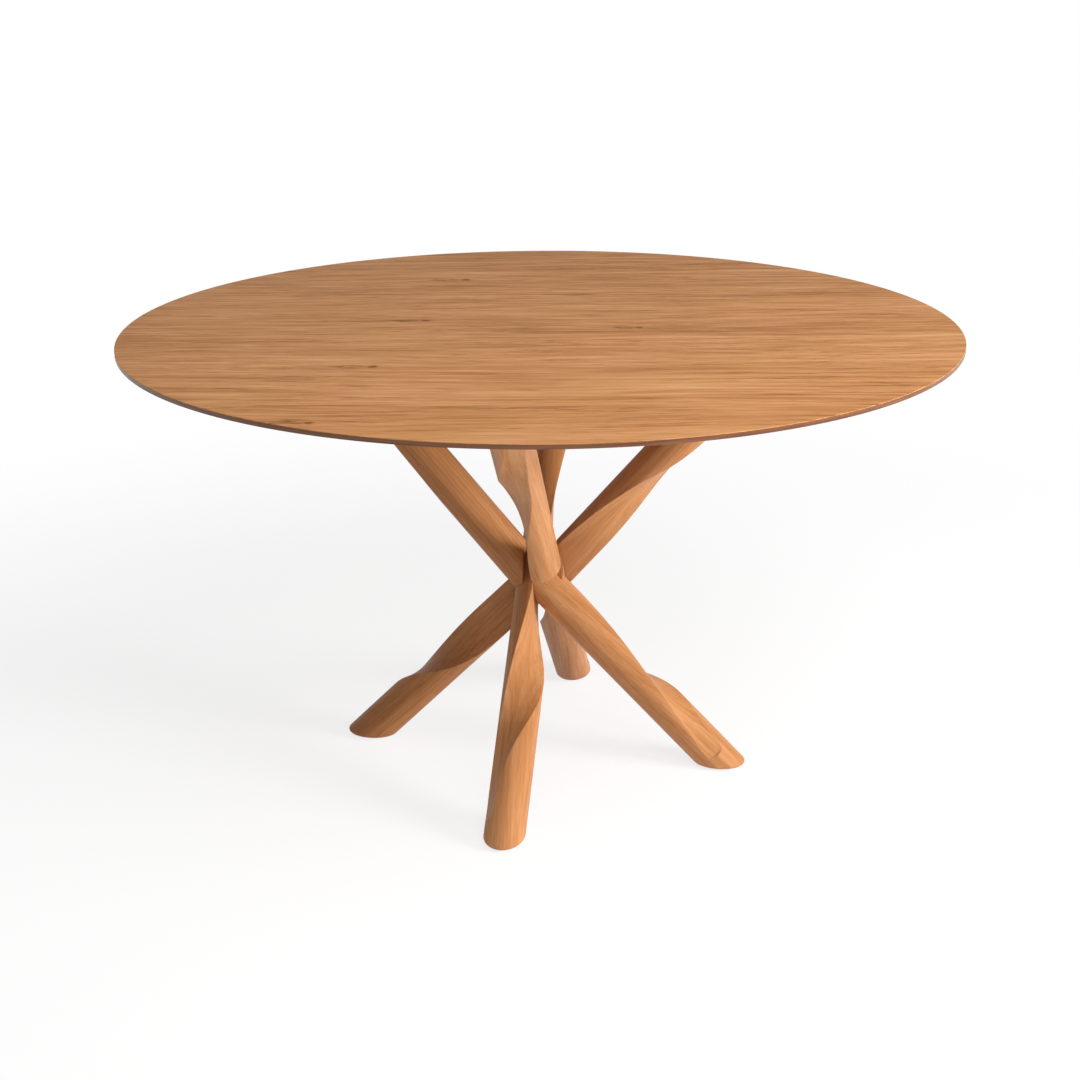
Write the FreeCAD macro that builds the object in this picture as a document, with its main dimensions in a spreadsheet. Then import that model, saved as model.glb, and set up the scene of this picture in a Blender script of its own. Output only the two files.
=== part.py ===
import FreeCAD, Part
import Sketcher
import math
import os

# Round dining table: a veneered board with a bevelled rim on four elbows. Each elbow is a round
# lower leg and a round upper arm a quarter turn apart. The front and back arms stand with a domed
# end on the side legs, and the side arms lean on the crests of the front and back legs. A long flat
# turns round each of them, from the waist to a hollow near its far end. At the waist it makes a
# half round of a leg, so that the four legs lock together round the table's axis.

# Driving dimensions in millimetres, degrees and counts: name, value, what it measures.
DIMENSIONS = [
    ("table_height", 750.0, "floor to top face"),
    ("top_diameter", 1300.0, "round top, rim to rim"),
    ("board_thickness", 22.0, "top face to underside"),
    ("veneer_thickness", 1.0, "face and backing veneer"),
    ("rim_thickness", 7.0, "upright band that shows at the rim"),
    ("lipping_width", 60.0, "solid rim, measured inwards"),
    ("lipping_segments", 6.0, "arcs that make up the rim"),
    ("leaf_count", 7.0, "face veneer leaves side by side"),
    ("leaf_overhang", 10.0, "veneer past the rim before it is trimmed"),
    ("leg_diameter", 65.5, "round legs and arms"),
    ("leg_tilt", 44.3, "lean of a leg from upright"),
    ("arm_tilt", 40.3, "lean of an arm from upright"),
    ("leg_offset", 7.5, "middle of a leg or arm to the table axis"),
    ("waist_height", 313.5, "floor to the elbows"),
    ("base_turn", -9.9, "turn of the base against the grain of the top"),
    ("leg_facet_reach", 403.0, "elbow to the tip of the flat, along a leg"),
    ("arm_facet_reach", 502.0, "elbow to the tip of the flat, along an arm"),
    ("front_leg_turn", 150.0, "turn of the flat from elbow to tip, front and back legs"),
    ("side_leg_turn", 150.0, "turn of the flat from elbow to tip, left and right legs"),
    ("front_arm_turn", 118.0, "turn of the flat from elbow to tip, front and back arms"),
    ("side_arm_turn", 130.0, "turn of the flat from elbow to tip, left and right arms"),
    ("front_leg_delay", 1.0, "power that holds the turn back near the elbow, front and back legs"),
    ("side_leg_delay", 1.4, "power that holds the turn back near the elbow, left and right legs"),
    ("front_arm_delay", 1.4, "power that holds the turn back near the elbow, front and back arms"),
    ("side_arm_delay", 1.0, "power that holds the turn back near the elbow, left and right arms"),
    ("leg_flat_offset", 1.0, "middle of a leg to its flat at the elbow"),
    ("arm_flat_offset", 13.0, "middle of an arm to its flat at the elbow"),
    ("facet_tip_depth", 3.6, "depth of the flat at its tip"),
    ("facet_runout", 9.0, "length of the hollow that ends the flat"),
    ("leg_crest", 15.0, "front and back legs past the flat of the leg beside"),
    ("front_arm_end", 22.0, "table axis to the inner end of a front or back arm"),
    ("side_arm_end", 25.0, "table axis to the inner end of a left or right arm"),
    ("arm_dome_radius", 36.0, "dome at the inner end of a front or back arm"),
    ("arm_seat_depth", 4.0, "how deep that dome is hollowed over its leg"),
    ("glue_gap", 0.2, "glue line between two pieces of the base"),
    ("foot_radius", 4.0, "rounding of a foot's lower edge"),
    ("glide_diameter", 40.0, "glide under a foot"),
    ("glide_thickness", 4.0, "floor to foot"),
    ("glide_chamfer", 1.0, "lower edge of a glide"),
    ("glide_screw_recess", 1.0, "floor to screw head"),
    ("plate_size", 110.0, "square plate at the top of an arm"),
    ("plate_thickness", 4.0, "plate let into the underside"),
    ("plate_corner", 12.0, "corner radius of the plate"),
    ("plate_clearance", 0.3, "recess round a plate"),
    ("bolt_spacing", 88.0, "plate bolts, square pattern"),
    ("bolt_diameter", 6.0, "bolt from plate into board"),
    ("bolt_length", 15.0, "bolt under its head"),
    ("bolt_head_diameter", 10.5, "button head"),
    ("bolt_head_height", 3.3, "button head"),
    ("bolt_head_edge", 1.2, "upright edge of the button head"),
    ("bolt_crown_diameter", 6.4, "flat on top of the button head"),
    ("bolt_hole_gap", 0.3, "plate hole round a bolt, on the radius"),
    ("insert_diameter", 10.0, "threaded insert in the board"),
    ("insert_length", 12.0, "threaded insert in the board"),
    ("screw_diameter", 4.5, "wood screw shank"),
    ("screw_head_diameter", 9.0, "countersunk head"),
    ("arm_screw_length", 40.0, "plate into arm"),
    ("glide_screw_length", 30.0, "glide into leg"),
    ("arm_screw_inset", 8.0, "outer arm screws, inwards from the middle of the arm's end"),
    ("arm_screw_pitch", 20.0, "outer arm screws to the inner one"),
    ("arm_screw_spread", 28.0, "distance between the outer arm screws"),
    ("socket_width", 3.0, "hexagon socket, corner to middle, of a bolt; screws take half"),
    ("socket_depth", 1.5, "hexagon socket"),
    ("fit_gap", 0.1, "screw, dowel or insert in its hole, on the radius"),
    ("elbow_dowel_diameter", 10.0, "dowel from an arm into its leg"),
    ("elbow_dowel_length", 44.0, "dowel from an arm into its leg"),
    ("elbow_dowel_reach", 48.0, "elbow to the middle of its dowel, along the arm"),
    ("waist_dowel_diameter", 8.0, "level dowel from one leg to the next"),
    ("waist_dowel_length", 30.0, "level dowel from one leg to the next"),
    ("waist_dowel_reach", 20.0, "level dowel to the table axis"),
    ("waist_dowel_drop", 22.0, "level dowel below the elbows"),
]

# Places that several pieces share, as formulas of the driving dimensions.
UNDERSIDE = "(dims.table_height - dims.board_thickness)"
LEG_RADIUS = "(dims.leg_diameter / 2)"
CORE_RADIUS = "(dims.top_diameter / 2 - dims.lipping_width)"
ARM_REACH = f"(({UNDERSIDE} - dims.waist_height) * tan(dims.arm_tilt) + dims.leg_offset)"
FOOT_REACH = "((dims.waist_height - dims.glide_thickness) * tan(dims.leg_tilt) + dims.leg_offset)"
LEG_FLAT = "(dims.leg_offset - dims.leg_flat_offset)"
ELBOW_SINE = "sqrt(1 - (cos(dims.arm_tilt) * cos(dims.leg_tilt)) ^ 2)"
DOME_REACH = f"(({LEG_RADIUS} + dims.arm_dome_radius - dims.arm_seat_depth) / {ELBOW_SINE})"
SCREW_HEAD_HEIGHT = "((dims.screw_head_diameter - dims.screw_diameter) / 2)"

LEG_NAMES = ["front", "right", "back", "left"]
ARM_NAMES = ["back", "left", "front", "right"]
FRONT_AND_BACK = (0, 2)
LEFT_AND_RIGHT = (1, 3)
QUARTER_TURN = 90.0
FACET_STATIONS = 10
RUNOUT_STEPS = (0.45, 0.75, 0.93, 1.0)
ALONG_X = FreeCAD.Vector(1, 0, 0)
UP = FreeCAD.Vector(0, 0, 1)
ORIGIN = FreeCAD.Vector(0, 0, 0)

doc = FreeCAD.newDocument("round_table")
sheet = doc.addObject("Spreadsheet::Sheet", "dims")
for row, (alias, number, meaning) in enumerate(DIMENSIONS, start=1):
    sheet.set(f"A{row}", meaning)
    sheet.set(f"B{row}", str(number))
    sheet.setAlias(f"B{row}", alias)
doc.recompute()

subparts = []


def value(formula):
    """Number that a formula of the sheet's cells comes to."""
    return float(sheet.evalExpression(formula))


def keep(obj, label):
    """Name a finished sub-part and list it for writing."""
    obj.Label = label
    subparts.append(obj)


def cylinder(name, radius, height, x="0", y="0", z="0"):
    """Upright cylinder whose sizes and place are formulas."""
    obj = doc.addObject("Part::Cylinder", name)
    obj.setExpression("Radius", radius)
    obj.setExpression("Height", height)
    place(obj, x, y, z)
    return obj


def box(name, sizes, corner):
    """Box whose three sizes and lower corner are formulas."""
    obj = doc.addObject("Part::Box", name)
    for prop, formula in zip(("Length", "Width", "Height"), sizes):
        obj.setExpression(prop, formula)
    place(obj, *corner)
    return obj


def place(obj, x, y, z):
    """Tie an object's position to formulas."""
    for axis, formula in zip("xyz", (x, y, z)):
        obj.setExpression(f"Placement.Base.{axis}", formula)


def boolean(kind, name, base, tool):
    """Cut or common of two objects."""
    obj = doc.addObject(f"Part::{kind}", name)
    obj.Base = base
    obj.Tool = tool
    return obj


def feature(name, shape, placement=None):
    """Object that holds a worked-out shape."""
    obj = doc.addObject("Part::Feature", name)
    obj.Shape = shape
    if placement is not None:
        obj.Placement = placement
    return obj


def moved(shape, x=0.0, y=0.0, z=0.0):
    """Copy of a shape at another place."""
    return shape.translated(FreeCAD.Vector(x, y, z))


def at_side(index):
    """Turn that carries the front leg's and the back arm's layout to another side."""
    return FreeCAD.Placement(ORIGIN, FreeCAD.Rotation(UP, value("dims.base_turn") + QUARTER_TURN * index))


def at_all_sides(shapes):
    """Copies of one side's small pieces at all four sides."""
    turns = [at_side(index).toMatrix() for index in range(len(LEG_NAMES))]
    return [shape.transformed(turn) for turn in turns for shape in shapes]


def quarter_turned(shape, quarters):
    """Copy of a shape turned about the table axis."""
    turn = FreeCAD.Placement(ORIGIN, FreeCAD.Rotation(UP, QUARTER_TURN * quarters))
    return shape.transformed(turn.toMatrix())


def keep_at_sides(label, names, master, sides=range(len(LEG_NAMES))):
    """One named sub-part at each of some sides, all of one shape."""
    doc.recompute()
    for index in sides:
        name = f"{label}_{names[index]}"
        keep(feature(name, master.Shape.copy(), at_side(index)), name)


def keep_group(label, shapes):
    """One node that holds several separate pieces of one shape."""
    keep(feature(label, Part.Compound(shapes)), label)


def outline(body, name, role, corners):
    """Closed sketch on one of a body's planes; a corner is two formulas, and "0" lies on an axis."""
    sketch = body.newObject("Sketcher::SketchObject", name)
    plane = next(item for item in body.Origin.OriginFeatures if item.Role == role)
    sketch.AttachmentSupport = (plane, [""])
    sketch.MapMode = "FlatFace"
    points = [FreeCAD.Vector(value(across), value(along), 0) for across, along in corners]
    for start, end in zip(points, points[1:] + points[:1]):
        sketch.addGeometry(Part.LineSegment(start, end))
    for index in range(len(corners)):
        sketch.addConstraint(Sketcher.Constraint("Coincident", index, 1, (index - 1) % len(corners), 2))
    for index, corner in enumerate(corners):
        for kind, axis, formula in zip(("DistanceX", "DistanceY"), (-2, -1), corner):
            if formula == "0":
                sketch.addConstraint(Sketcher.Constraint("PointOnObject", index, 1, axis))
                continue
            number = sketch.addConstraint(Sketcher.Constraint(kind, -1, 1, index, 1, value(formula)))
            sketch.setExpression(f"Constraints[{number}]", formula)
    return sketch


def turned(name, corners, angle="360"):
    """Body turned about the Z axis from an outline in the XZ plane."""
    body = doc.addObject("PartDesign::Body", name)
    sketch = outline(body, f"{name}_outline", "XZ_Plane", corners)
    doc.recompute()
    spin = body.newObject("PartDesign::Revolution", f"{name}_turning")
    spin.Profile = sketch
    spin.ReferenceAxis = (sketch, ["V_Axis"])
    spin.setExpression("Angle", angle)
    doc.recompute()
    return body


def rounded_slab(name, size, thickness, corner):
    """Square slab on the XY plane with rounded upright edges."""
    half = f"({size}) / 2"
    body = doc.addObject("PartDesign::Body", name)
    corners = [(f"-{half}", f"-{half}"), (half, f"-{half}"), (half, half), (f"-{half}", half)]
    sketch = outline(body, f"{name}_outline", "XY_Plane", corners)
    doc.recompute()
    pad = body.newObject("PartDesign::Pad", f"{name}_pad")
    pad.Profile = sketch
    pad.setExpression("Length", thickness)
    doc.recompute()
    upright = [f"Edge{number}" for number, edge in enumerate(pad.Shape.Edges, start=1)
               if edge.Vertexes[0].Z != edge.Vertexes[-1].Z]
    rounding = body.newObject("PartDesign::Fillet", f"{name}_corners")
    rounding.Base = (pad, upright)
    rounding.setExpression("Radius", corner)
    doc.recompute()
    return body


def hexagon_socket(name, width, z):
    """Hexagon hole that a key turns a fastener by."""
    socket = doc.addObject("Part::Prism", name)
    socket.Polygon = 6
    socket.setExpression("Circumradius", width)
    socket.setExpression("Height", "dims.socket_depth")
    place(socket, "0", "0", z)
    return socket


def wood_screw(name, length, gap="0"):
    """Countersunk screw, top of its head at the origin, pointing down; a gap makes its hole."""
    shank = f"(dims.screw_diameter / 2 + {gap})"
    head = f"(dims.screw_head_diameter / 2 + {gap})"
    tip = f"-({length} + {gap} - dims.screw_diameter)"
    corners = [("0", "0"), (head, "0"), (shank, f"-{SCREW_HEAD_HEIGHT}"), (shank, tip),
               ("0", f"-({length} + {gap})")]
    return turned(name, corners)


def driven_screw(name, length):
    """Countersunk screw with its socket."""
    socket = hexagon_socket(f"{name}_socket", "dims.socket_width / 2", "-dims.socket_depth")
    return boolean("Cut", f"{name}_driven", wood_screw(name, length), socket)


def button_bolt():
    """Bolt with a button head; the head's seat is at the origin and the thread points up."""
    seat = "dims.bolt_head_diameter / 2"
    crown = "dims.bolt_crown_diameter / 2"
    shank = "dims.bolt_diameter / 2"
    corners = [("0", "-dims.bolt_head_height"), (crown, "-dims.bolt_head_height"),
               (seat, "-dims.bolt_head_edge"), (seat, "0"), (shank, "0"),
               (shank, "dims.bolt_length"), ("0", "dims.bolt_length")]
    socket = hexagon_socket("bolt_socket", "dims.socket_width / 2", "-dims.bolt_head_height")
    return boolean("Cut", "bolt_driven", turned("bolt", corners), socket)


def threaded_insert():
    """Sleeve in the board that a bolt screws into; its mouth is at the origin."""
    bore = "(dims.bolt_diameter / 2 + dims.fit_gap)"
    sleeve = "dims.insert_diameter / 2"
    corners = [(bore, "0"), (sleeve, "0"), (sleeve, "dims.insert_length"), (bore, "dims.insert_length")]
    return turned("insert", corners)


def bar_placement(tilt, side):
    """Frame of the front leg or back arm: origin at its elbow, Z up, X away from its round back."""
    offset = value("dims.leg_offset")
    elbow = FreeCAD.Vector(-offset, side * offset, value("dims.waist_height"))
    return FreeCAD.Placement(elbow, FreeCAD.Rotation(ALONG_X, -value(tilt)))


def facet_section(height, offset, angle):
    """Rectangle across the bar whose inner side is the flat, turned by an angle about the bar."""
    reach = value("dims.leg_diameter")
    turn = FreeCAD.Placement(FreeCAD.Vector(0, 0, height), FreeCAD.Rotation(UP, angle))
    corners = [(offset, -reach), (offset, reach), (offset + reach, reach), (offset + reach, -reach)]
    points = [turn.multVec(FreeCAD.Vector(x, y, 0)) for x, y in corners]
    return Part.makePolygon(points + points[:1])


def smooth_step(part):
    """Rise from 0 to 1 that starts and ends level."""
    return part * part * (3 - 2 * part)


def facet_sections(reach, turn, delay, least, side, gap):
    """Sections of the flat from beyond the elbow to its tip.

    Away from the elbow the flat turns on a delayed smooth step and backs off to the surface on a
    smooth step of that step; past the tip a quarter-round hollow runs it out of the bar. It never comes
    nearer to the middle of the bar than the least distance.
    """
    radius = value(LEG_RADIUS)
    deep = value("dims.leg_flat_offset")
    shallow = radius - value("dims.facet_tip_depth")
    clear = radius + value("dims.facet_tip_depth") / 2
    sections = [facet_section(-side * value("dims.leg_diameter"), least + gap, 0)]
    for index in range(FACET_STATIONS + 1):
        part = index / FACET_STATIONS
        step = smooth_step(part ** delay)
        offset = max(deep + (shallow - deep) * smooth_step(step), least) + gap
        sections.append(facet_section(side * part * reach, offset, side * turn * step))
    for step in RUNOUT_STEPS:
        rise = (clear - shallow) * (1 - math.sqrt(1 - step * step))
        height = side * (reach + step * value("dims.facet_runout"))
        sections.append(facet_section(height, shallow + rise + gap, side * turn))
    return sections


def round_bar(name, tilt, length, side, gap):
    """Round bar from beyond the elbow outwards, grown by a gap."""
    bar = cylinder(name, f"{LEG_RADIUS} + {gap}", f"{length} + dims.leg_diameter")
    bar.Placement.Rotation = FreeCAD.Rotation(ALONG_X, -1)
    bar.setExpression("Placement.Rotation.Angle", f"-{tilt}")
    bar.Placement.Rotation.Axis = ALONG_X
    below = length if side < 0 else "dims.leg_diameter"
    place(bar, "-dims.leg_offset", f"{side} * dims.leg_offset - ({below}) * sin({tilt})",
          f"dims.waist_height - ({below}) * cos({tilt})")
    return bar


def rounded_foot(leg):
    """Leg with the lower edge of its foot rounded."""
    doc.recompute()
    heights = [edge.CenterOfMass.z for edge in leg.Shape.Edges]
    lowest = heights.index(min(heights)) + 1
    radius = value("dims.foot_radius")
    rounding = doc.addObject("Part::Fillet", "leg_rounded")
    rounding.Base = leg
    rounding.Edges = [(lowest, radius, radius)]
    return rounding


def dome_waste():
    """What is turned off the back arm to leave a dome at its inner end."""
    radius = value("dims.arm_dome_radius")
    middle = value(DOME_REACH)
    spare = value("dims.leg_diameter")
    block = Part.makeCylinder(2 * radius, middle + spare, FreeCAD.Vector(0, 0, -spare))
    dome = Part.makeSphere(radius, FreeCAD.Vector(0, 0, middle))
    return feature("dome_waste", block.cut(dome), bar_placement("dims.arm_tilt", 1))


def twisted_flat(name, kind, side, gap):
    """What is cut off a bar along its flat, for one kind of leg or arm."""
    limb = kind.split("_")[1]
    names = (f"{limb}_facet_reach", f"{kind}_turn", f"{kind}_delay", f"{limb}_flat_offset")
    sections = facet_sections(*(value(f"dims.{size}") for size in names), side, value(gap))
    return feature(f"{name}_flat", Part.makeLoft(sections, True), bar_placement(f"dims.{limb}_tilt", side))


def trimmed_leg(name, kind, gap, crest):
    """Front leg's bar with its flat, cut level at the foot and upright at a crest, grown by a gap."""
    length = "(dims.waist_height / cos(dims.leg_tilt) + dims.leg_diameter)"
    bar = round_bar(f"{name}_bar", "dims.leg_tilt", length, -1, gap)
    faceted = boolean("Cut", f"{name}_faceted", bar, twisted_flat(name, kind, -1, gap))
    wide = "dims.top_diameter"
    corner = (f"-{wide} / 2", f"{LEG_FLAT} - dims.glue_gap + {crest} - {wide}", "dims.glide_thickness")
    room = box(f"{name}_room", (wide, wide, wide), corner)
    return boolean("Common", name, faceted, room)


def trimmed_arm(kind):
    """Back arm's bar with its flat, cut level under the board and upright at its inner end."""
    length = "((dims.table_height - dims.waist_height) / cos(dims.arm_tilt) + dims.leg_diameter)"
    bar = round_bar(f"{kind}_bar", "dims.arm_tilt", length, 1, "0")
    wide = "dims.top_diameter"
    corner = (f"-{wide} / 2", f"dims.{kind}_end", f"{UNDERSIDE} - {wide}")
    room = box(f"{kind}_room", (wide, wide, wide), corner)
    trimmed = boolean("Common", f"{kind}_trimmed", bar, room)
    return boolean("Cut", f"{kind}_faceted", trimmed, twisted_flat(kind, kind, 1, "0"))


def elbow_dowel(gap):
    """Dowel down the middle of the back arm into the left leg."""
    length = value("dims.elbow_dowel_length") + 2 * gap
    start = FreeCAD.Vector(0, 0, value("dims.elbow_dowel_reach") - length / 2)
    dowel = Part.makeCylinder(value("dims.elbow_dowel_diameter") / 2 + gap, length, start)
    return dowel.transformed(bar_placement("dims.arm_tilt", 1).toMatrix())


def waist_dowel(gap):
    """Level dowel through the flat of the front leg into the right leg."""
    length = value("dims.waist_dowel_length") + 2 * gap
    radius = value("dims.waist_dowel_diameter") / 2 + gap
    x = -value(LEG_FLAT) - length / 2
    z = value("dims.waist_height - dims.waist_dowel_drop")
    return Part.makeCylinder(radius, length, FreeCAD.Vector(x, -value("dims.waist_dowel_reach"), z), ALONG_X)


def arm_screw_places():
    """Where the plate's screws enter the back arm's top end."""
    x = -value("dims.leg_offset")
    outer = value(f"{ARM_REACH} - dims.arm_screw_inset")
    inner = outer - value("dims.arm_screw_pitch")
    z = value(f"{UNDERSIDE} + dims.plate_thickness")
    spread = value("dims.arm_screw_spread") / 2
    return [(x - spread, outer, z), (x + spread, outer, z), (x, inner, z)]


def bolt_places(z):
    """Corners of the back plate's bolt pattern at a given height."""
    half = value("dims.bolt_spacing") / 2
    x = -value("dims.leg_offset")
    y = value(ARM_REACH)
    return [(x + i * half, y + j * half, z) for i in (-1, 1) for j in (-1, 1)]


def glide_screw_at_foot(shape):
    """Screw shape turned head down and set under the front foot."""
    flipped = shape.copy()
    flipped.rotate(ORIGIN, ALONG_X, 180)
    return moved(flipped, -value("dims.leg_offset"), -value(FOOT_REACH), value("dims.glide_screw_recess"))


def make_fasteners():
    """Shapes of the fasteners and of the holes that take them, at the front leg and the back arm."""
    arm_screw = driven_screw("arm_screw", "dims.arm_screw_length")
    arm_screw_hole = wood_screw("arm_screw_hole", "dims.arm_screw_length", "dims.fit_gap")
    glide_screw = driven_screw("glide_screw", "dims.glide_screw_length")
    glide_screw_hole = wood_screw("glide_screw_hole", "dims.glide_screw_length", "dims.fit_gap")
    bolt = button_bolt()
    insert = threaded_insert()
    doc.recompute()
    seat = value(UNDERSIDE)
    mouth = value(f"{UNDERSIDE} + dims.plate_thickness")
    return {
        "plate_arm_screws": [moved(arm_screw.Shape, *spot) for spot in arm_screw_places()],
        "plate_bolts": [moved(bolt.Shape, *spot) for spot in bolt_places(seat)],
        "threaded_inserts": [moved(insert.Shape, *spot) for spot in bolt_places(mouth)],
        "glide_screws": [glide_screw_at_foot(glide_screw.Shape)],
        "arm_screw_holes": [moved(arm_screw_hole.Shape, *spot) for spot in arm_screw_places()],
        "glide_screw_holes": [glide_screw_at_foot(glide_screw_hole.Shape)],
    }


def leg_spaces():
    """Rooms that a side leg and a crested front leg take up at the left, with the glue round them."""
    side = trimmed_leg("side_leg_space", "side_leg", "dims.glue_gap", "0")
    front = trimmed_leg("front_leg_space", "front_leg", "dims.glue_gap", "(dims.leg_crest + dims.glue_gap)")
    doc.recompute()
    return [feature(f"{space.Name}_at_left", quarter_turned(space.Shape, -1)) for space in (side, front)]


def make_legs(fasteners, side_space, front_space):
    """Lower legs, half round at the waist: crested front and back ones, and side ones that butt on them."""
    gap = value("dims.fit_gap")
    level = waist_dowel(gap)
    dowel_holes = [quarter_turned(elbow_dowel(gap), 1), level, quarter_turned(level, -1)]
    holes = feature("leg_holes", Part.Compound(fasteners["glide_screw_holes"] + dowel_holes))
    kinds = [
        ("front_leg", "dims.leg_crest", side_space, FRONT_AND_BACK),
        ("side_leg", "0", front_space, LEFT_AND_RIGHT),
    ]
    for kind, crest, beside, sides in kinds:
        fitted = boolean("Cut", f"{kind}_fitted", rounded_foot(trimmed_leg(kind, kind, "0", crest)), beside)
        keep_at_sides("leg", LEG_NAMES, boolean("Cut", f"{kind}_drilled", fitted, holes), sides)


def make_arms(fasteners, side_space, front_space):
    """Upper arms: front and back ones stand domed on a side leg, side ones lean on a front or back leg."""
    dowel_hole = elbow_dowel(value("dims.fit_gap"))
    holes = feature("arm_holes", Part.Compound(fasteners["arm_screw_holes"] + [dowel_hole]))
    domed = boolean("Cut", "front_arm_domed", trimmed_arm("front_arm"), dome_waste())
    standing = boolean("Cut", "front_arm_standing", domed, side_space)
    keep_at_sides("arm", ARM_NAMES, boolean("Cut", "front_arm_drilled", standing, holes), FRONT_AND_BACK)
    leg_below = feature("leg_below_arm", quarter_turned(side_space.Shape, -1))
    leaning = boolean("Cut", "side_arm_leaning", trimmed_arm("side_arm"), front_space)
    clear = boolean("Cut", "side_arm_clear", leaning, leg_below)
    keep_at_sides("arm", ARM_NAMES, boolean("Cut", "side_arm_drilled", clear, holes), LEFT_AND_RIGHT)


def make_dowels():
    """Dowels from the arms into the legs and from leg to leg."""
    keep_group("elbow_dowels", at_all_sides([elbow_dowel(0)]))
    keep_group("waist_dowels", at_all_sides([waist_dowel(0)]))


def make_plates(fasteners):
    """Steel plates that join the arms to the board, with their screws and bolts."""
    slab = rounded_slab("plate_blank", "dims.plate_size", "dims.plate_thickness", "dims.plate_corner")
    middle = (-value("dims.leg_offset"), value(ARM_REACH), value(UNDERSIDE))
    blank = feature("plate_at_arm", moved(slab.Shape, *middle))
    radius = value("dims.bolt_diameter / 2 + dims.bolt_hole_gap")
    thickness = value("dims.plate_thickness")
    spots = [FreeCAD.Vector(*spot) for spot in bolt_places(value(UNDERSIDE))]
    holes = [Part.makeCylinder(radius, thickness, spot) for spot in spots]
    tool = feature("plate_holes", Part.Compound(holes + fasteners["arm_screw_holes"]))
    keep_at_sides("plate", ARM_NAMES, boolean("Cut", "plate_drilled", blank, tool))
    for label in ("plate_arm_screws", "plate_bolts", "threaded_inserts"):
        keep_group(label, at_all_sides(fasteners[label]))


def make_glides(fasteners):
    """Glides under the feet, with their screws."""
    edge = "dims.glide_diameter / 2"
    corners = [("0", "0"), (f"{edge} - dims.glide_chamfer", "0"), (edge, "dims.glide_chamfer"),
               (edge, "dims.glide_thickness"), ("0", "dims.glide_thickness")]
    disc = turned("glide_blank", corners)
    spot = FreeCAD.Vector(-value("dims.leg_offset"), -value(FOOT_REACH), 0)
    blank = feature("glide_at_foot", moved(disc.Shape, *spot))
    radius = value("dims.screw_head_diameter / 2 + dims.fit_gap")
    mouth = Part.makeCylinder(radius, value("dims.glide_screw_recess"), spot)
    tool = feature("glide_hole", Part.Compound([mouth] + fasteners["glide_screw_holes"]))
    keep_at_sides("glide", LEG_NAMES, boolean("Cut", "glide_drilled", blank, tool))
    keep_group("glide_screws", at_all_sides(fasteners["glide_screws"]))


def plate_recesses():
    """Spaces in the board for the plates and for the inserts above them."""
    size = "dims.plate_size + 2 * dims.plate_clearance"
    corner = "dims.plate_corner + dims.plate_clearance"
    slab = rounded_slab("recess_blank", size, "dims.plate_thickness", corner)
    middle = (-value("dims.leg_offset"), value(ARM_REACH), value(UNDERSIDE))
    recess = moved(slab.Shape, *middle)
    radius = value("dims.insert_diameter / 2 + dims.fit_gap")
    length = value("dims.plate_thickness + dims.insert_length + dims.fit_gap")
    spots = [FreeCAD.Vector(*spot) for spot in bolt_places(value(UNDERSIDE))]
    holes = [Part.makeCylinder(radius, length, spot) for spot in spots]
    return feature("plate_recesses", Part.Compound(at_all_sides([recess.fuse(holes)])))


def make_board():
    """Core board, backing veneer, face veneer leaves and the solid bevelled rim."""
    recesses = plate_recesses()
    core_height = "dims.board_thickness - 2 * dims.veneer_thickness"
    core = cylinder("core_disc", CORE_RADIUS, core_height, z=f"{UNDERSIDE} + dims.veneer_thickness")
    keep(boolean("Cut", "board_core", core, recesses), "board_core")
    backing = cylinder("backing_disc", CORE_RADIUS, "dims.veneer_thickness", z=UNDERSIDE)
    keep(boolean("Cut", "backing_veneer", backing, recesses), "backing_veneer")
    make_leaves()
    make_lipping()


def make_leaves():
    """Face veneer: leaves laid side by side across the grain and trimmed to the round."""
    radius = "dims.top_diameter / 2"
    bottom = "dims.table_height - dims.veneer_thickness"
    edge = "-(dims.top_diameter / 2 + dims.leaf_overhang)"
    length = "(dims.top_diameter + 2 * dims.leaf_overhang)"
    width = f"({length} / dims.leaf_count)"
    for index in range(int(value("dims.leaf_count"))):
        disc = cylinder(f"leaf_disc_{index + 1}", radius, "dims.veneer_thickness", z=bottom)
        sizes = (length, width, "dims.veneer_thickness")
        strip = box(f"leaf_strip_{index + 1}", sizes, (edge, f"{edge} + {index} * {width}", bottom))
        label = f"veneer_leaf_{index + 1}"
        keep(boolean("Common", label, disc, strip), label)


def make_lipping():
    """Solid rim: arcs of one section, upright at the edge and bevelled underneath."""
    rim = "dims.top_diameter / 2"
    top = "dims.table_height - dims.veneer_thickness"
    corners = [(CORE_RADIUS, UNDERSIDE), (rim, "dims.table_height - dims.rim_thickness"),
               (rim, top), (CORE_RADIUS, top)]
    arc = turned("lipping_arc", corners, "360 / dims.lipping_segments")
    count = int(value("dims.lipping_segments"))
    for index in range(count):
        label = f"edge_lipping_{index + 1}"
        turn = FreeCAD.Placement(ORIGIN, FreeCAD.Rotation(UP, 360 / count * index))
        keep(feature(label, arc.Shape.copy(), turn), label)


def check_document():
    """Stop unless every object is up to date and every sub-part is a valid solid."""
    doc.recompute()
    for obj in doc.Objects:
        if "Invalid" in obj.State or "Error" in obj.State:
            raise RuntimeError(f"{obj.Name} failed: {obj.State}")
    for obj in subparts:
        if obj.Shape.isNull() or not obj.Shape.isValid() or not obj.Shape.Solids:
            raise RuntimeError(f"{obj.Label} is not a valid solid")


def write_parts():
    """Write each sub-part to its own file."""
    os.makedirs("parts", exist_ok=True)
    for obj in subparts:
        obj.Shape.exportStep(f"parts/{obj.Label}.step")
        volume = sum(solid.Volume for solid in obj.Shape.Solids)
        print(f"{obj.Label}: {len(obj.Shape.Solids)} solids, {volume / 1000:.2f} cm3")


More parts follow.
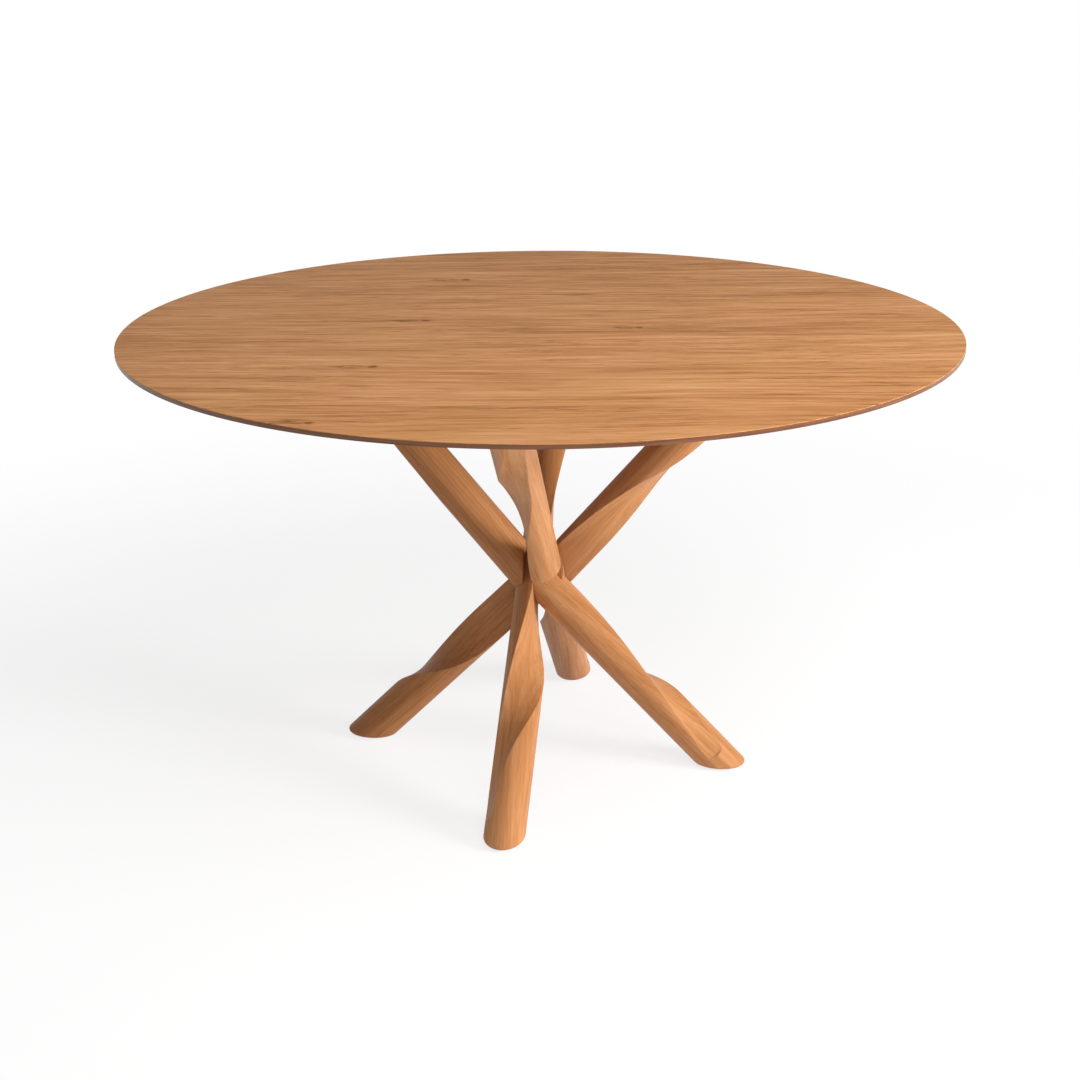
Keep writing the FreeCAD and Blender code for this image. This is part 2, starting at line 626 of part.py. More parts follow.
fastener_shapes = make_fasteners()
make_board()
left_leg_spaces = leg_spaces()
make_legs(fastener_shapes, *left_leg_spaces)
make_arms(fastener_shapes, *left_leg_spaces)
make_dowels()
make_plates(fastener_shapes)
make_glides(fastener_shapes)
check_document()
write_parts()
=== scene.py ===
# %% [markdown]
# # A round table on crossed, twisted legs
#
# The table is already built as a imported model: every leaf of veneer, leg, arm, plate and screw is a node
# of its own, at its real size. This lesson gives those pieces their looks. The shapes stay as they are, so
# the work is in the finishes: wood whose grain runs the way each piece was cut, lacquer, steel and nylon.

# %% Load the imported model
import math

import bpy
import numpy as np
from mathutils import Matrix, Vector


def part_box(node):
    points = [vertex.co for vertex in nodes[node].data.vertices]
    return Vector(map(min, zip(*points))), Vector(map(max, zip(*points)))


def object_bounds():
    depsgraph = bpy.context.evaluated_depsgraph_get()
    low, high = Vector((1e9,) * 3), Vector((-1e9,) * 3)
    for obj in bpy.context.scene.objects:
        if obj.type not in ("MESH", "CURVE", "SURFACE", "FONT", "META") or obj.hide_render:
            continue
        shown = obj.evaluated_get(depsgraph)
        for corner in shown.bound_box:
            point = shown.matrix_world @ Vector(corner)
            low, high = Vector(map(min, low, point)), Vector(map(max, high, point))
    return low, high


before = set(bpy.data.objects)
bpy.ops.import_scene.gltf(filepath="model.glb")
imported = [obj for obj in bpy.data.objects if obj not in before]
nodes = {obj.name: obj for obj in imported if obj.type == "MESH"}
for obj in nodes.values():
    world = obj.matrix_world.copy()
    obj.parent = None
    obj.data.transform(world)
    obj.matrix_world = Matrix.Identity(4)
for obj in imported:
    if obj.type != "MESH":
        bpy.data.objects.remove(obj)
cad_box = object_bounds()
top_radius = (cad_box[1].x - cad_box[0].x) / 2
table_height = cad_box[1].z
print(f"{len(nodes)} nodes, top radius {top_radius:.3f} m, height {table_height:.3f} m")

# %% [markdown]
# ## The camera
#
# The picture was taken from the front, a little above the top, with a short tele lens. The camera is given
# by its place, by how far it looks down, aside and leans, and by its lens. Building its three axes by hand
# avoids guessing with Euler angles: one axis points ahead, one to the right and one up in the picture.

# %% Camera
CAMERA_PLACE = Vector((0.0, -2.407, 1.286))
LOOK_DOWN = math.radians(20.51)
LOOK_ASIDE = math.radians(-0.05)
LEAN = math.radians(-0.37)
LENS_MM = 51.7
SENSOR_MM = 36.0


def camera_axes():
    """Right, up and backward directions of the camera, from its pitch, its yaw and its roll."""
    level = math.cos(LOOK_DOWN)
    ahead = Vector((math.sin(LOOK_ASIDE) * level, math.cos(LOOK_ASIDE) * level, -math.sin(LOOK_DOWN)))
    right = Vector((math.cos(LOOK_ASIDE), -math.sin(LOOK_ASIDE), 0.0))
    up = right.cross(ahead)
    leaning_right = math.cos(LEAN) * right + math.sin(LEAN) * up
    leaning_up = math.cos(LEAN) * up - math.sin(LEAN) * right
    return leaning_right, leaning_up, -ahead


camera = bpy.data.objects.new("camera", bpy.data.cameras.new("camera"))
bpy.context.scene.collection.objects.link(camera)
camera.data.sensor_width = SENSOR_MM
camera.data.lens = LENS_MM
camera.matrix_world = Matrix.Translation(CAMERA_PLACE) @ Matrix(camera_axes()).transposed().to_4x4()
bpy.context.scene.camera = camera
bpy.context.scene.view_settings.view_transform = "Standard"
print("camera looks down", round(math.degrees(LOOK_DOWN), 1), "degrees with a lens of", LENS_MM, "mm")

# %% [markdown]
# ## A small kit for finishes
#
# A finish is a tree of shader nodes. Wiring such trees by hand takes many lines, so the first class offers
# short calls: `add` makes a node, `feed` links a socket or sets its number, `math` and `vector` calculate,
# and `noise` gives a cloudy pattern that is stretched by a factor along each axis. The second class adds a
# material to it, with calls for the shader's own sockets and for bumps.

# %% Finish kit
class Wiring:
    """Short calls that add nodes to a tree."""

    def __init__(self, tree):
        self.tree = tree

    def add(self, kind, **settings):
        """New node with some of its settings."""
        made = self.tree.nodes.new(kind)
        for name, setting in settings.items():
            setattr(made, name, setting)
        return made

    def feed(self, socket, source):
        """Link a socket to another, or set its number."""
        if isinstance(source, bpy.types.NodeSocket):
            self.tree.links.new(source, socket)
        else:
            socket.default_value = source

    def math(self, operation, first, second=0.0):
        """One number from two."""
        made = self.add("ShaderNodeMath", operation=operation)
        self.feed(made.inputs[0], first)
        self.feed(made.inputs[1], second)
        return made.outputs[0]

    def vector(self, operation, first, second=(0.0, 0.0, 0.0)):
        """One vector from two, or the length of the first."""
        made = self.add("ShaderNodeVectorMath", operation=operation)
        self.feed(made.inputs[0], first)
        self.feed(made.inputs[1], second)
        return made.outputs["Value" if operation in ("LENGTH", "DOT_PRODUCT") else "Vector"]

    def noise(self, place, stretch, detail=2.0, output="Fac"):
        """Cloudy pattern; the stretch says how many clouds there are to a metre along each axis."""
        made = self.add("ShaderNodeTexNoise")
        self.feed(made.inputs["Vector"], self.vector("MULTIPLY", place, stretch))
        self.feed(made.inputs["Scale"], 1.0)
        self.feed(made.inputs["Detail"], detail)
        return made.outputs[output]

    def band(self, source, low, high, start=0.0, end=1.0):
        """Smooth step of a number from start to end, between a low and a high value."""
        made = self.add("ShaderNodeMapRange", interpolation_type="SMOOTHSTEP")
        for name, number in zip(("Value", "From Min", "From Max", "To Min", "To Max"),
                                (source, low, high, start, end)):
            self.feed(made.inputs[name], number)
        return made.outputs["Result"]

    def ramp(self, factor, colours):
        """Colour from a factor of 0 to 1 by a row of evenly spaced colours."""
        made = self.add("ShaderNodeValToRGB")
        stops = made.color_ramp.elements
        for index in range(1, len(colours) - 1):
            stops.new(index / (len(colours) - 1))
        for stop, colour in zip(stops, colours):
            stop.color = (*colour, 1.0)
        self.feed(made.inputs["Fac"], factor)
        return made.outputs["Color"]

    def mix(self, factor, first, second, blend="MIX"):
        """Mixture of two colours."""
        made = self.add("ShaderNodeMix", data_type="RGBA", blend_type=blend)
        self.feed(made.inputs["Factor"], factor)
        for socket, colour in zip(("A", "B"), (first, second)):
            port = next(item for item in made.inputs if item.name == socket and item.type == "RGBA")
            self.feed(port, colour if isinstance(colour, bpy.types.NodeSocket) else (*colour, 1.0))
        return next(item for item in made.outputs if item.type == "RGBA")

    def object_place(self, turn=None, shift=(0.0, 0.0, 0.0)):
        """Place on the piece in metres, turned and then shifted."""
        made = self.add("ShaderNodeMapping")
        self.feed(made.inputs["Vector"], self.add("ShaderNodeTexCoord").outputs["Object"])
        self.feed(made.inputs["Location"], shift)
        if turn is not None:
            self.feed(made.inputs["Rotation"], turn.to_euler("XYZ"))
        return made.outputs["Vector"]


class Finish(Wiring):
    """One material, and calls for its shader."""

    def __init__(self, name):
        self.material = bpy.data.materials.new(name)
        self.material.use_nodes = True
        super().__init__(self.material.node_tree)
        self.shader = self.tree.nodes["Principled BSDF"]

    def bump(self, height, strength, depth):
        """Bumps on the shader's normal, depth in metres."""
        made = self.add("ShaderNodeBump")
        self.feed(made.inputs["Height"], height)
        self.feed(made.inputs["Strength"], strength)
        self.feed(made.inputs["Distance"], depth)
        self.feed(self.shader.inputs["Normal"], made.outputs["Normal"])
        return made

    def set(self, **sockets):
        """Set or link the shader's own sockets, with _ for a space."""
        for name, source in sockets.items():
            self.feed(self.shader.inputs[name.replace("_", " ")], source)


def wear(node_name, finish):
    """Give a CAD node a finish."""
    for slot in nodes[node_name].material_slots:
        slot.material = finish.material


print("finish kit ready")

# %% [markdown]
# ## How wood gets its figure
#
# Wood looks like wood because of layers at different scales. Growth rings are shells round the pith of the
# tree, so on any cut they follow the distance from a line along the grain. Broad clouds shift the tone over
# a hand's width, streaks run along the grain a few millimetres apart, short dark flecks come in clusters,
# and pores show close up. An image of wood would stretch round the legs; a formula in space is cut by each
# face as a saw cuts a log, so rings run on from a round to a flat. A slow wander bends the whole figure.
# The stretches below say how many clouds there are to a metre, along the grain and across it, and the edges
# between which two values a noise turns into a mark.

# %% Wood figure
WANDER = 0.055
WANDER_CLOUDS = (1.5, 3.0, 3.0)
RING_SPACING = 0.0065
RING_RAGGEDNESS = 0.9
RING_RAGS = (6.0, 160.0, 160.0)
LATE_WOOD = (0.25, 0.85)
YEAR_END = (0.90, 1.0)
BROAD_CLOUDS = (0.9, 9.0, 9.0)
STREAKS = ((1.0, (4.6, 75.0, 75.0), 3.0), (0.6, (12.0, 280.0, 280.0), 2.0), (0.4, (32.0, 900.0, 900.0), 2.0))
DASHES = (22.0, 300.0, 300.0)
DASH_EDGE = (0.53, 0.66)
DASH_CLUSTERS = (2.6, 26.0, 26.0)
CLUSTER_EDGE = (0.44, 0.62)
PORES = (26.0, 1500.0, 1500.0)
PORE_EDGE = (0.60, 0.72)
MIDDLE_TONE = 0.53
HALF = (0.5, 0.5, 0.5)


def late_wood(finish, bent, pith):
    """How late in its year the wood is, from 0 to 1.

    A ring's number is the distance from the pith over the ring spacing, made ragged by a noise. The
    late wood is the last part of each whole number.
    """
    from_pith = finish.vector("MULTIPLY", finish.vector("SUBTRACT", bent, (0.0, *pith)), (0.0, 1.0, 1.0))
    ring = finish.math("DIVIDE", finish.vector("LENGTH", from_pith), RING_SPACING)
    ragged = finish.math("MULTIPLY", finish.noise(bent, RING_RAGS), RING_RAGGEDNESS)
    part = finish.math("FRACT", finish.math("ADD", ring, ragged))
    return finish.math("MULTIPLY", finish.band(part, *LATE_WOOD), finish.band(part, *YEAR_END, 1.0, 0.0))


def wood_figure(finish, place, pith, rings, streaks, clouds, flecks):
    """Tone from 0, dark, to 1, light, of wood whose grain runs along X, and the same wood's pores.

    The tone is about one half, less the late wood of the rings and the clustered flecks, plus the
    clouds and streaks about their middles. The last four numbers say how strong each of them is.
    """
    drift = finish.vector("SUBTRACT", finish.noise(place, WANDER_CLOUDS, 1.0, "Color"), HALF)
    bent = finish.vector("ADD", place, finish.vector("MULTIPLY", drift, (0.0, WANDER, WANDER)))
    dashes = finish.band(finish.noise(bent, DASHES, 3.0), *DASH_EDGE)
    clusters = finish.band(finish.noise(bent, DASH_CLUSTERS), *CLUSTER_EDGE)
    fleck = finish.math("MULTIPLY", finish.math("MULTIPLY", dashes, clusters), flecks)
    late = finish.math("MULTIPLY", late_wood(finish, bent, pith), rings)
    tone = finish.math("SUBTRACT", MIDDLE_TONE, finish.math("ADD", fleck, late))
    layers = [(clouds, finish.noise(bent, BROAD_CLOUDS))]
    layers += [(share * streaks, finish.noise(bent, stretch, detail)) for share, stretch, detail in STREAKS]
    for weight, layer in layers:
        tone = finish.math("ADD", tone, finish.math("MULTIPLY", finish.math("SUBTRACT", layer, 0.5), weight))
    pores = finish.band(finish.noise(bent, PORES, 1.0), *PORE_EDGE)
    return tone, pores


print("wood figure with rings every", RING_SPACING * 1000, "mm")

# %% [markdown]
# ## Lacquer
#
# The table has a satin lacquer that is thin enough for the pores to stay open. So a pore is darker, duller
# and a little sunk, and pale wood shines slightly more than dark wood. How glossy the lacquer is differs
# from piece to piece, so each finish gives its own roughness and gloss.

# %% Lacquered wood
PORE_TINT = (0.55, 0.45, 0.40)
PORE_DARKNESS = 0.35
PORE_DULLNESS = 0.18
PALE_SHINE = 0.08
GRAIN_RELIEF = 0.22
GRAIN_DEPTH = 0.0004


def lacquered_wood(finish, tone, pores, colours, roughness=0.58, gloss=0.06):
    """Satin lacquer on wood: colour by the tone, with open pores. Returns the bump node."""
    bare = finish.ramp(tone, colours)
    dark = finish.mix(1.0, bare, PORE_TINT, "MULTIPLY")
    finish.set(Base_Color=finish.mix(finish.math("MULTIPLY", pores, PORE_DARKNESS), bare, dark))
    dull = finish.math("ADD", roughness, finish.math("MULTIPLY", pores, PORE_DULLNESS))
    finish.set(Roughness=finish.math("SUBTRACT", dull, finish.math("MULTIPLY", tone, PALE_SHINE)))
    finish.set(Specular_IOR_Level=gloss, Coat_Weight=0.02, Coat_Roughness=0.35)
    height = finish.math("SUBTRACT", finish.math("MULTIPLY", tone, 0.5), pores)
    return finish.bump(height, GRAIN_RELIEF, GRAIN_DEPTH)


print("grain", GRAIN_DEPTH * 1000, "mm deep under the lacquer")

# %% [markdown]
# ## The top
#
# The top is a thin face veneer laid in leaves side by side, all with the grain across the picture. Each
# leaf is a slice of the log a little further in, so it gets the same figure from another place, tipped a
# degree or two against the grain: that is what opens the rings into long pointed arches. A few pin knots
# lie on the leaves. Each is a ragged dark dot, with dark fibres that trail off to its left.

# %% Veneer leaves
VENEER = [(0.195, 0.076, 0.017), (0.360, 0.148, 0.043), (0.478, 0.212, 0.072), (0.570, 0.280, 0.112),
          (0.670, 0.368, 0.172)]
PIN_KNOTS = [(-0.181, 0.024, 0.9), (-0.236, -0.272, 1.0), (-0.133, 0.359, 1.1), (-0.288, -0.554, 0.8),
             (0.154, -0.034, 0.7)]
KNOT_RADIUS = 0.010
KNOT_TAIL = (0.034, 0.015)
KNOT_RAGS = (70.0, 140.0, 1.0)
KNOT_SHAKE = (0.014, 0.010, 0.0)
KNOT_FIBRES = (40.0, 330.0, 1.0)
FIBRE_EDGE = (0.42, 0.58)
KNOT_DARKNESS = 0.65
VENEER_FIGURE = {"rings": 0.10, "streaks": 1.08, "clouds": 0.65, "flecks": 0.32}
LEAF_TIPS = (1.4, -1.1, 1.8, -1.6, 1.2, -1.9, 1.5)
LEAF_STEP = 1.7
PITH_ASIDE = 0.35
PITH_DEPTH = -0.030


def knot_shade(finish, low, high):
    """Darkness of the pin knots on the leaf between two corners.

    A dot fades with the distance from the knot, and a tail with the distance from a point to its left,
    counted in the tail's half length and half width. Both distances are shaken by a noise.
    """
    spot = finish.object_place()
    shake = finish.vector("SUBTRACT", finish.noise(spot, KNOT_RAGS, 3.0, "Color"), HALF)
    ragged = finish.vector("ADD", spot, finish.vector("MULTIPLY", shake, KNOT_SHAKE))
    fibres = finish.band(finish.noise(ragged, KNOT_FIBRES), *FIBRE_EDGE)
    length, width = KNOT_TAIL
    shade = 0.0
    for x, y, size in PIN_KNOTS:
        if low.y - width < y < high.y + width:
            radius = size * KNOT_RADIUS
            away = finish.vector("SUBTRACT", ragged, (x, y, table_height))
            behind = finish.vector("SUBTRACT", ragged, (x - size * length, y, table_height))
            tail_away = finish.vector("DIVIDE", behind, (size * length, size * width, 1.0))
            dot = finish.band(finish.vector("LENGTH", away), 0.3 * radius, radius, 1.0, 0.0)
            tail = finish.band(finish.vector("LENGTH", tail_away), 0.4, 1.0, 0.7, 0.0)
            knot = finish.math("MAXIMUM", dot, finish.math("MULTIPLY", tail, fibres))
            shade = finish.math("MAXIMUM", shade, knot)
    return shade


def veneer_leaf(index, name):
    """Finish of one leaf: the common figure, read from the leaf's own place in the log."""
    low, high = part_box(name)
    middle = (low.y + high.y) / 2
    finish = Finish(f"top_veneer_{index + 1}")
    tip = Matrix.Rotation(math.radians(LEAF_TIPS[index]), 3, "Y")
    place = finish.object_place(tip, (LEAF_STEP * index, -middle, -table_height))
    pith = (PITH_ASIDE * (high.y - low.y) * (-1) ** index, PITH_DEPTH)
    tone, pores = wood_figure(finish, place, pith, **VENEER_FIGURE)
    knots = finish.math("MULTIPLY", knot_shade(finish, low, high), KNOT_DARKNESS)
    knotted = finish.math("SUBTRACT", tone, knots)
    lacquered_wood(finish, knotted, pores, VENEER)
    return finish


leaf_names = sorted(name for name in nodes if name.startswith("veneer_leaf"))
for index, name in enumerate(leaf_names):
    wear(name, veneer_leaf(index, name))
print(len(leaf_names), "leaves of veneer")

# %% [markdown]
# ## The rim
#
# Under the veneer runs a solid rim of curved pieces, a shade darker than the face. Its grain follows the
# curve, so straight coordinates would show end grain where there is none. The formula unrolls the rim: the
# angle round the table times the radius goes along the grain, and the distance from the edge and the height
# go across it. The rim's lacquer is glossier than the face's, so it catches the white room at a low angle.

# %% Rim pieces
RIM_WOOD = [(0.085, 0.028, 0.011), (0.128, 0.046, 0.018), (0.170, 0.066, 0.027), (0.228, 0.098, 0.044)]
RIM_FIGURE = {"rings": 0.25, "streaks": 0.9, "clouds": 0.6, "flecks": 0.1}
RIM_PITH = (0.03, -0.05)
RIM_STEP = 2.3


def rim_piece(index, name):
    """Finish of one arc of the rim, in unrolled coordinates."""
    finish = Finish(f"edge_wood_{index + 1}")
    apart = finish.add("ShaderNodeSeparateXYZ")
    finish.feed(apart.inputs[0], finish.object_place())
    flat = finish.vector("MULTIPLY", finish.object_place(), (1.0, 1.0, 0.0))
    angle = finish.math("ARCTAN2", apart.outputs["Y"], apart.outputs["X"])
    along = finish.math("MULTIPLY", angle, top_radius)
    unrolled = finish.add("ShaderNodeCombineXYZ")
    finish.feed(unrolled.inputs["X"], finish.math("ADD", along, RIM_STEP * index))
    finish.feed(unrolled.inputs["Y"], finish.math("SUBTRACT", finish.vector("LENGTH", flat), top_radius))
    finish.feed(unrolled.inputs["Z"], finish.math("SUBTRACT", apart.outputs["Z"], table_height))
    tone, pores = wood_figure(finish, unrolled.outputs[0], RIM_PITH, **RIM_FIGURE)
    lacquered_wood(finish, tone, pores, RIM_WOOD, roughness=0.36, gloss=0.42)
    return finish


rim_names = sorted(name for name in nodes if name.startswith("edge_lipping"))
for index, name in enumerate(rim_names):
    wear(name, rim_piece(index, name))
print(len(rim_names), "pieces of rim")

# %% [markdown]
# ## Legs and arms
#
# Every leg and arm is cut from a plank with the grain along the bar. Some bars are painted a tone paler
# or darker for how the light falls on them: painted light on the front leg and front arm, painted shade
# on the left arm and left leg. The bar's direction is measured from its own surface: the middles of its
# triangles, weighed by their areas, spread most along the bar, and a singular value decomposition gives
# that direction.
# The place on the bar is then turned so that X runs along it. The ridges of the twisted flats are eased by
# sanding: the Bevel node turns the normals near an edge, and the same turn tells where the lacquer is rubbed
# a little paler.

# %% Bar directions
def bar_turn(piece):
    """Turn that lays a bar along X, and the bar's middle."""
    mesh = piece.data
    mesh.calc_loop_triangles()
    corners = np.empty(len(mesh.loop_triangles) * 3, np.int32)
    mesh.loop_triangles.foreach_get("vertices", corners)
    points = np.empty(len(mesh.vertices) * 3)
    mesh.vertices.foreach_get("co", points)
    triangles = points.reshape(-1, 3)[corners.reshape(-1, 3)]
    first, second, third = triangles.swapaxes(0, 1)
    areas = np.linalg.norm(np.cross(second - first, third - first), axis=1)
    middles = triangles.mean(axis=1)
    middle = (middles * areas[:, None]).sum(axis=0) / areas.sum()
    spread = (middles - middle) * np.sqrt(areas)[:, None]
    along = Vector(np.linalg.svd(spread, full_matrices=False)[2][0])
    along *= math.copysign(1.0, along.z)
    across = along.cross(Vector((0.0, 0.0, 1.0))).normalized()
    return Matrix((along, across, along.cross(across))), Vector(middle)


bar_names = sorted(name for name in nodes if name.startswith(("leg_", "arm_")))
bar_turns = {name: bar_turn(nodes[name]) for name in bar_names}
for name, (turn, middle) in bar_turns.items():
    print(name, "leans", round(math.degrees(math.acos(turn[0].z)), 1), "degrees")

# %% Bar finishes
BAR_WOOD = [(0.220, 0.082, 0.026), (0.340, 0.138, 0.047), (0.440, 0.195, 0.074), (0.530, 0.268, 0.122),
            (0.640, 0.365, 0.200)]
BAR_FIGURE = {"rings": 0.08, "streaks": 0.58, "clouds": 0.60, "flecks": 0.12}
EASED_EDGE = 0.0022
RIDGE_TURN = (0.90, 0.999)
RUBBED = 0.22
BAR_STEP = 2.9
PITHS = ((0.055, 0.020), (-0.040, 0.060), (0.020, -0.070), (-0.075, -0.015))
# Tone shift per bar: the front leg and front arm are made paler as painted light, the left arm and left leg
# darker as painted shade.
PAINTED_LIGHT_AND_SHADE_TONES = {"leg_front": 0.07, "arm_front": 0.04, "arm_left": -0.03, "leg_left": -0.05}


def eased_edges(finish, bump):
    """Ease the ridges in the normals, and return how near a point is to one."""
    bevel = finish.add("ShaderNodeBevel", samples=6)
    finish.feed(bevel.inputs["Radius"], EASED_EDGE)
    finish.feed(bump.inputs["Normal"], bevel.outputs["Normal"])
    flat = finish.add("ShaderNodeNewGeometry").outputs["Normal"]
    same = finish.vector("DOT_PRODUCT", bevel.outputs["Normal"], flat)
    return finish.band(same, *RIDGE_TURN, 1.0, 0.0)


def bar_finish(index, name):
    """Finish of one leg or arm, with its grain along the bar."""
    finish = Finish(f"bar_wood_{name}")
    turn, middle = bar_turns[name]
    place = finish.object_place(turn, Vector((BAR_STEP * index, 0.0, 0.0)) - turn @ middle)
    figure, pores = wood_figure(finish, place, PITHS[index % len(PITHS)], **BAR_FIGURE)
    # Adds the bar's painted light or painted shade to its figure.
    tone = finish.math("ADD", figure, PAINTED_LIGHT_AND_SHADE_TONES.get(name, 0.0))
    bump = lacquered_wood(finish, tone, pores, BAR_WOOD, roughness=0.50, gloss=0.16)
    rubbed = finish.math("MULTIPLY", eased_edges(finish, bump), RUBBED)
    colour = finish.shader.inputs["Base Color"].links[0].from_socket
    finish.set(Base_Color=finish.mix(rubbed, colour, BAR_WOOD[-1]))
    return finish


for index, name in enumerate(bar_names):
    wear(name, bar_finish(index, name))
print(len(bar_names), "legs and arms")

# %% [markdown]
# ## What shows from below and inside
#
# The underside has a plainer backing veneer. Four steel plates with a black powder coat are let into it,
# held by zinc-plated bolts in brass inserts; nylon glides with a screw stand under the feet. The core board
# and the dowels are hidden but get their own raw finish, for anyone who takes the table apart.

# %% Hidden woods
BACKING = [(0.250, 0.105, 0.045), (0.360, 0.165, 0.075), (0.450, 0.225, 0.110)]
RAW_DOWEL = [(0.480, 0.300, 0.150), (0.600, 0.410, 0.230), (0.690, 0.500, 0.310)]
FIBRE_BOARD = [(0.330, 0.225, 0.130), (0.420, 0.300, 0.180), (0.500, 0.370, 0.240)]
BACKING_FIGURE = {"rings": 0.1, "streaks": 0.8, "clouds": 0.6, "flecks": 0.2}
BACKING_PITH = (0.0, -0.4)


def even(count):
    """Stretch of a noise with as many clouds to a metre in every direction."""
    return (count, count, count)


def backing_veneer():
    """Plain backing sheet under the board."""
    finish = Finish("backing")
    tone, pores = wood_figure(finish, finish.object_place(), BACKING_PITH, **BACKING_FIGURE)
    lacquered_wood(finish, tone, pores, BACKING, roughness=0.62)
    return finish


def raw_dowel():
    """Raw hardwood with streaks; the dowels lie several ways, so the streaks are short."""
    finish = Finish("dowel_wood")
    place = finish.object_place()
    finish.set(Base_Color=finish.ramp(finish.noise(place, (420.0, 420.0, 60.0), 3.0), RAW_DOWEL))
    finish.set(Roughness=0.78)
    finish.bump(finish.noise(place, (1500.0, 1500.0, 200.0)), 0.2, 0.0002)
    return finish


def fibre_board():
    """Pressed fibres: fine specks with no direction."""
    finish = Finish("core_board")
    place = finish.object_place()
    finish.set(Base_Color=finish.ramp(finish.noise(place, (900.0, 900.0, 1400.0), 4.0), FIBRE_BOARD))
    finish.set(Roughness=0.88)
    finish.bump(finish.noise(place, even(2200.0)), 0.25, 0.0002)
    return finish


wear("backing_veneer", backing_veneer())
wear("board_core", fibre_board())
for name in ("elbow_dowels", "waist_dowels"):
    wear(name, raw_dowel())
print("backing, core and dowels done")

# %% Metal and nylon
def powder_coat():
    """Black powder coat: an even orange-peel skin."""
    finish = Finish("plate_steel")
    place = finish.object_place()
    finish.set(Base_Color=finish.ramp(finish.noise(place, even(35.0)), [(0.014,) * 3, (0.026,) * 3]))
    finish.set(Roughness=finish.band(finish.noise(place, even(90.0)), 0.3, 0.7, 0.42, 0.56))
    finish.bump(finish.noise(place, even(900.0), 1.0), 0.25, 0.0002)
    return finish


def plated(name, dark, bright):
    """Plated or bright metal with faint turning marks and patches of dullness."""
    finish = Finish(name)
    place = finish.object_place()
    finish.set(Base_Color=finish.ramp(finish.noise(place, even(240.0)), [dark, bright]))
    finish.set(Metallic=1.0)
    finish.set(Roughness=finish.band(finish.noise(place, (500.0, 500.0, 3000.0)), 0.3, 0.7, 0.24, 0.42))
    finish.bump(finish.noise(place, (300.0, 300.0, 4000.0)), 0.12, 0.0001)
    return finish


def nylon():
    """Dark nylon with a fine moulded texture."""
    finish = Finish("glide_plastic")
    place = finish.object_place()
    finish.set(Base_Color=finish.ramp(finish.noise(place, even(120.0)),
                                      [(0.040, 0.028, 0.020), (0.075, 0.055, 0.042)]))
    finish.set(Roughness=finish.band(finish.noise(place, even(300.0)), 0.3, 0.7, 0.52, 0.68))
    finish.bump(finish.noise(place, even(2500.0)), 0.2, 0.0001)
    return finish


ZINC = ((0.46, 0.47, 0.48), (0.62, 0.62, 0.61))
BRASS = ((0.58, 0.40, 0.16), (0.74, 0.55, 0.26))
SIDES = ("front", "right", "back", "left")
steel, zinc, brass, dark_nylon = powder_coat(), plated("zinc", *ZINC), plated("brass", *BRASS), nylon()
for side in SIDES:
    wear(f"plate_{side}", steel)
    wear(f"glide_{side}", dark_nylon)
for name in ("plate_arm_screws", "plate_bolts", "glide_screws"):
    wear(name, zinc)
wear("threaded_inserts", brass)
print("plates, fasteners and glides done")

# %% [markdown]
# ## Floor and light
#
# The table stands on a plain pale floor in a white studio. The camera and the gloss see the floor and the
# world as white through the Light Path node, while the light on the wood stays at a plain level: a lamp from
# the right, a broad one from above the front, a weak one from the left, and an even sky. Part of the floor's
# colour is left to the lamps, so it keeps the table's soft shadow. The lamps themselves are kept out of the
# gloss, because they would glare off the top when it is seen at a low angle from behind.

# %% White studio
FLOOR_REACH = 40.0
FLOOR_DROP = 0.0003
SKY_LIGHT = 0.22
FLOOR_GLOW = 0.80
SHADOW_REACH = (0.9, 2.4)
WHITE = (1.0, 1.0, 1.0)


def seen_directly(wiring):
    """1 for rays from the camera, off gloss and through glass, and 0 for the others."""
    path = wiring.add("ShaderNodeLightPath")
    polished = wiring.math("MAXIMUM", path.outputs["Is Glossy Ray"], path.outputs["Is Transmission Ray"])
    return wiring.math("MAXIMUM", path.outputs["Is Camera Ray"], polished)


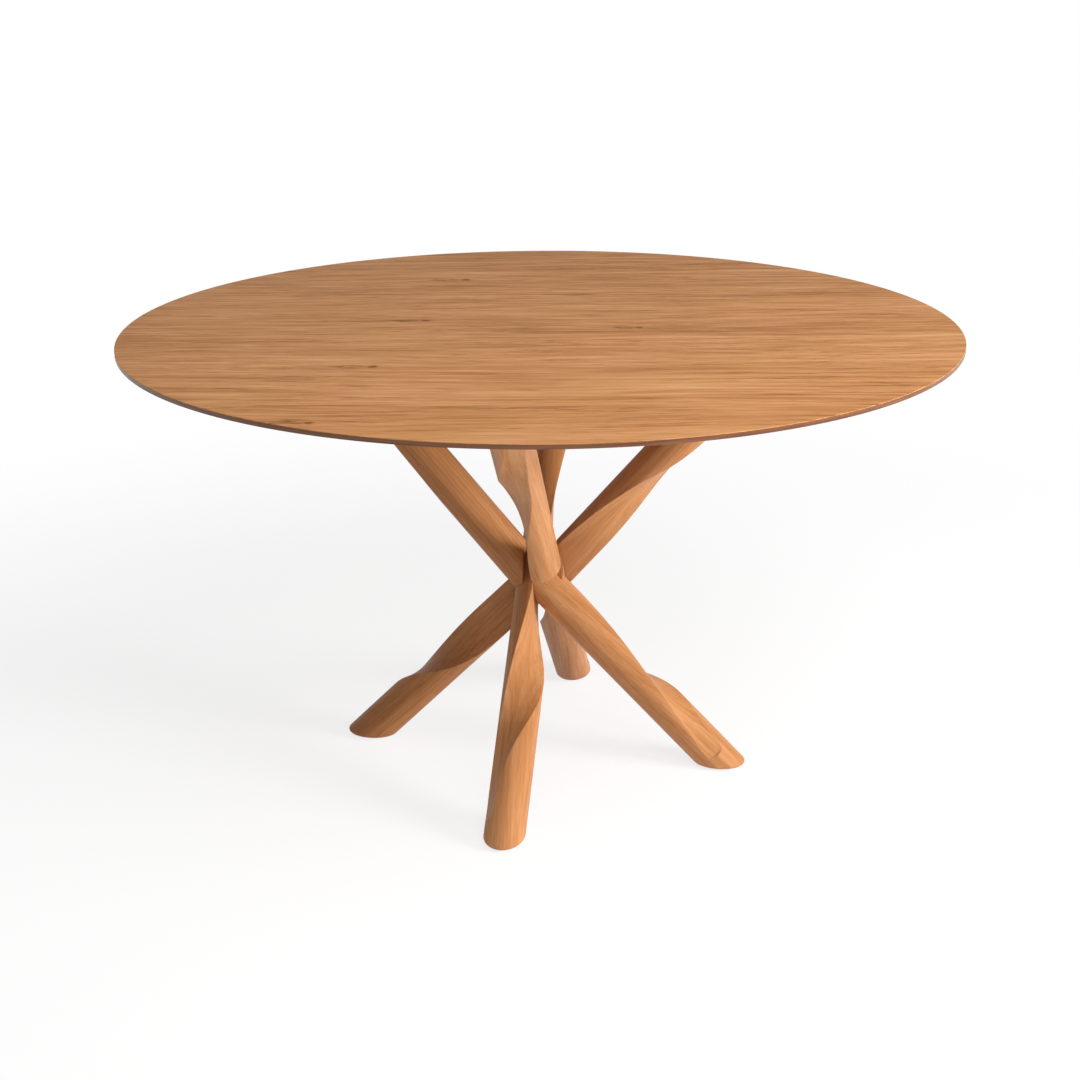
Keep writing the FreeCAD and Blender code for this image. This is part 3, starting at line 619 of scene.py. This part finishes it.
def floor_finish():
    """Pale floor: part glow, which the camera sees as white, and part painted board, which takes shadow.

    Its underside is clear, so that the table can be looked at from below too.
    """
    finish = Finish("pale_floor")
    finish.set(Base_Color=(*WHITE, 1.0), Roughness=0.9, Specular_IOR_Level=0.0)
    glow = finish.add("ShaderNodeEmission").outputs["Emission"]
    clear = finish.add("ShaderNodeBsdfTransparent").outputs["BSDF"]
    distance = finish.vector("LENGTH", finish.object_place())
    share = finish.math("MULTIPLY", seen_directly(finish),
                        finish.band(distance, *SHADOW_REACH, FLOOR_GLOW, 1.0))
    from_below = finish.add("ShaderNodeNewGeometry").outputs["Backfacing"]
    shown = finish.shader.outputs["BSDF"]
    for factor, other in ((share, glow), (from_below, clear)):
        blend = finish.add("ShaderNodeMixShader")
        for socket, source in zip(blend.inputs, (factor, shown, other)):
            finish.feed(socket, source)
        shown = blend.outputs["Shader"]
    finish.feed(finish.tree.nodes["Material Output"].inputs["Surface"], shown)
    return finish


def white_world():
    """World that is white to the camera and in gloss, and an even sky to the wood."""
    world = bpy.data.worlds.new("white_studio")
    world.use_nodes = True
    wiring = Wiring(world.node_tree)
    sky = wiring.tree.nodes["Background"]
    wiring.feed(sky.inputs["Color"], (*WHITE, 1.0))
    wiring.feed(sky.inputs["Strength"], wiring.band(seen_directly(wiring), 0.0, 1.0, SKY_LIGHT, 1.0))
    bpy.context.scene.world = world


corners = FLOOR_REACH * np.array([(-1, -1), (1, -1), (1, 1), (-1, 1)])
floor_mesh = bpy.data.meshes.new("floor")
floor_mesh.from_pydata([(x, y, -FLOOR_DROP) for x, y in corners], [], [(0, 1, 2, 3)])
floor_mesh.materials.append(floor_finish().material)
floor = bpy.data.objects.new("floor", floor_mesh)
bpy.context.scene.collection.objects.link(floor)
white_world()
print("floor and world done")

# %% Lamps
AIM = Vector((0.0, 0.0, 0.45))
LAMPS = {
    "key_lamp": ((3.6, -1.3, 1.5), 1.3, 195.0),
    "fill_lamp": ((-2.6, -3.4, 1.4), 2.4, 3.0),
    "top_lamp": ((1.0, -1.8, 2.8), 2.0, 68.0),
}


def soft_lamp(name, place, size, power):
    """Square area lamp that points at the middle of the table."""
    lamp = bpy.data.lights.new(name, "AREA")
    lamp.size = size
    lamp.energy = power
    stand = bpy.data.objects.new(name, lamp)
    stand.location = place
    stand.rotation_euler = (AIM - Vector(place)).to_track_quat("-Z", "Y").to_euler()
    stand.visible_glossy = False
    bpy.context.scene.collection.objects.link(stand)


for name, (place, size, power) in LAMPS.items():
    soft_lamp(name, place, size, power)
print(len(LAMPS), "lamps")
